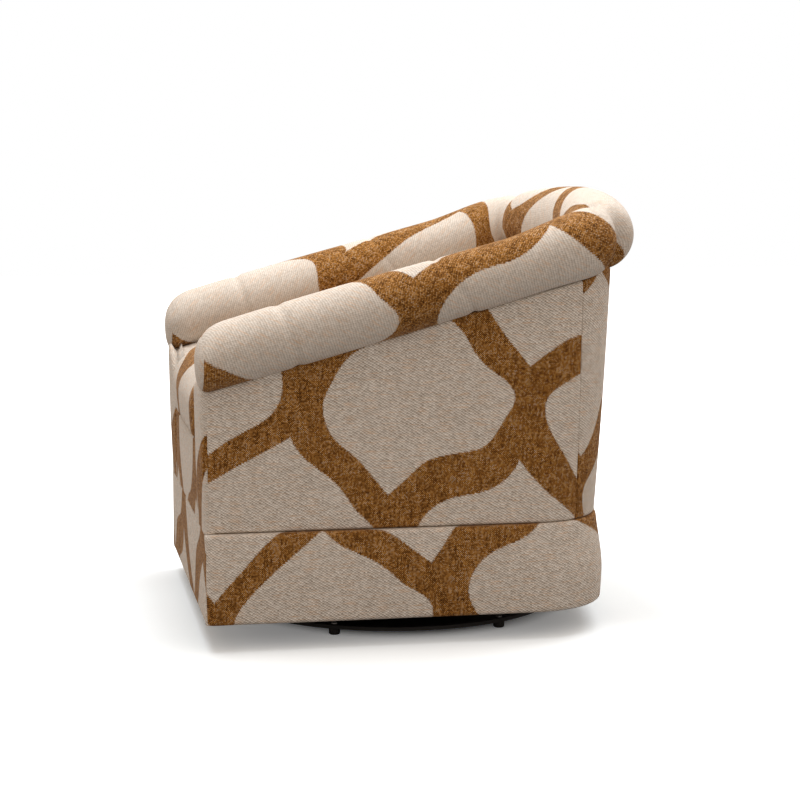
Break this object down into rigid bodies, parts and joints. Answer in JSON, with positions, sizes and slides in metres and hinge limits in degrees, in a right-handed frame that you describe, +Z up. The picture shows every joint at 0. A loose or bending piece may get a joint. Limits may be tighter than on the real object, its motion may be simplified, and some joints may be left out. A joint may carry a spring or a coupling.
{
  "type": "swivel glider chair",
  "caption": "Tub chair with sloping rolled arms and a rolled back over a straight plinth, hung from a linkage so that it glides and turns on a floor disc.",
  "frame": {"origin": "on the floor under the middle of the whole chair, with the glide linkage at rest", "axes": "+Z up, the seat's front faces -Y, the sitter's left arm is on +X"},
  "size_m": [0.822, 0.854, 0.8095],
  "materials": {
    "cloth": "heavy woven upholstery cloth, ochre figures on a cream ground",
    "black_steel": "satin black powder coat",
    "black_plastic": "moulded, matt",
    "zinc_steel": "zinc plated",
    "bearing_steel": "ground and greased",
    "spring_steel": "drawn wire and pressed strip",
    "nylon": "moulded, satin",
    "rubber": "moulded, matt",
    "wood": "planed, unfinished hardwood and plywood",
    "felt": "needled felt",
    "cover_cloth": "thin nonwoven cloth"
  },
  "bodies": {
    "floor_base": {"floor_disc": "black_steel", "glide_feet": "black_plastic", "foot_screws": "zinc_steel", "lower_race": "bearing_steel", "kingpin": "zinc_steel", "thrust_washer": "zinc_steel", "kingpin_nut": "zinc_steel"},
    "ball_set": {"bearing_balls": "bearing_steel", "ball_cage": "nylon"},
    "carriage": {"upper_race": "bearing_steel", "turntable_plate": "black_steel", "front_cross_tube": "black_steel", "rear_cross_tube": "black_steel", "carriage_rail_left": "black_steel", "carriage_rail_right": "black_steel", "uprights": "black_steel", "top_pivot_pins": "zinc_steel", "rubber_stops": "rubber", "carriage_bolts": "zinc_steel"},
    "front_left_link": {"link_front_left": "black_steel", "bushes_front_left": "nylon"},
    "front_right_link": {"link_front_right": "black_steel", "bushes_front_right": "nylon"},
    "rear_left_link": {"link_rear_left": "black_steel", "bushes_rear_left": "nylon"},
    "rear_right_link": {"link_rear_right": "black_steel", "bushes_rear_right": "nylon"},
    "chair": {"seat_plate_left": "black_steel", "seat_plate_right": "black_steel", "bottom_pivot_pins": "zinc_steel", "pin_clips": "zinc_steel", "seat_plate_bolts": "zinc_steel", "bearer_left": "wood", "bearer_right": "wood", "front_rail": "wood", "side_rail_left": "wood", "side_rail_right": "wood", "rear_rail": "wood", "corner_blocks": "wood", "arm_posts": "wood", "arm_board_left": "wood", "arm_board_right": "wood", "back_posts": "wood", "back_top_rail": "wood", "seat_springs": "spring_steel", "spring_clips": "spring_steel", "deck_pad": "felt", "dust_cover": "cover_cloth", "plinth_front": "cloth", "plinth_sides": "cloth", "plinth_back": "cloth", "front_border": "cloth", "arm_fronts": "cloth", "outside_arms": "cloth", "outside_back": "cloth", "inside_arms": "cloth", "inside_back": "cloth", "arm_rolls": "cloth", "back_roll": "cloth", "seat_cushion": "cloth"}
  },
  "joints": [
    {"name": "swivel", "type": "hinge", "parent": "floor_base", "child": "carriage", "pos_m": [0, -0.013, 0.0312], "axis": [0, 0, 1], "continuous": true},
    {"name": "ball_ring", "type": "hinge", "parent": "floor_base", "child": "ball_set", "pos_m": [0, -0.013, 0.0312], "axis": [0, 0, 1], "continuous": true},
    {"name": "glide", "type": "hinge", "parent": "carriage", "child": "front_left_link", "pos_m": [-0.1646, -0.163, 0.153], "axis": [1, 0, 0], "range_deg": [-28, 28]},
    {"name": "front_right_swing", "type": "hinge", "parent": "carriage", "child": "front_right_link", "pos_m": [0.1646, -0.163, 0.153], "axis": [1, 0, 0], "range_deg": [-28, 28]},
    {"name": "rear_left_swing", "type": "hinge", "parent": "carriage", "child": "rear_left_link", "pos_m": [-0.1646, 0.137, 0.153], "axis": [1, 0, 0], "range_deg": [-28, 28]},
    {"name": "rear_right_swing", "type": "hinge", "parent": "carriage", "child": "rear_right_link", "pos_m": [0.1646, 0.137, 0.153], "axis": [1, 0, 0], "range_deg": [-28, 28]},
    {"name": "chair_hang", "type": "hinge", "parent": "front_left_link", "child": "chair", "pos_m": [-0.1646, -0.163, 0.073], "axis": [1, 0, 0], "range_deg": [-28, 28]}
  ],
  "couplings": [
    {"joint": "ball_ring", "follows": "swivel", "ratio": 0.5},
    {"joint": "front_right_swing", "follows": "glide", "ratio": 1},
    {"joint": "rear_left_swing", "follows": "glide", "ratio": 1},
    {"joint": "rear_right_swing", "follows": "glide", "ratio": 1},
    {"joint": "chair_hang", "follows": "glide", "ratio": -1}
  ]
}
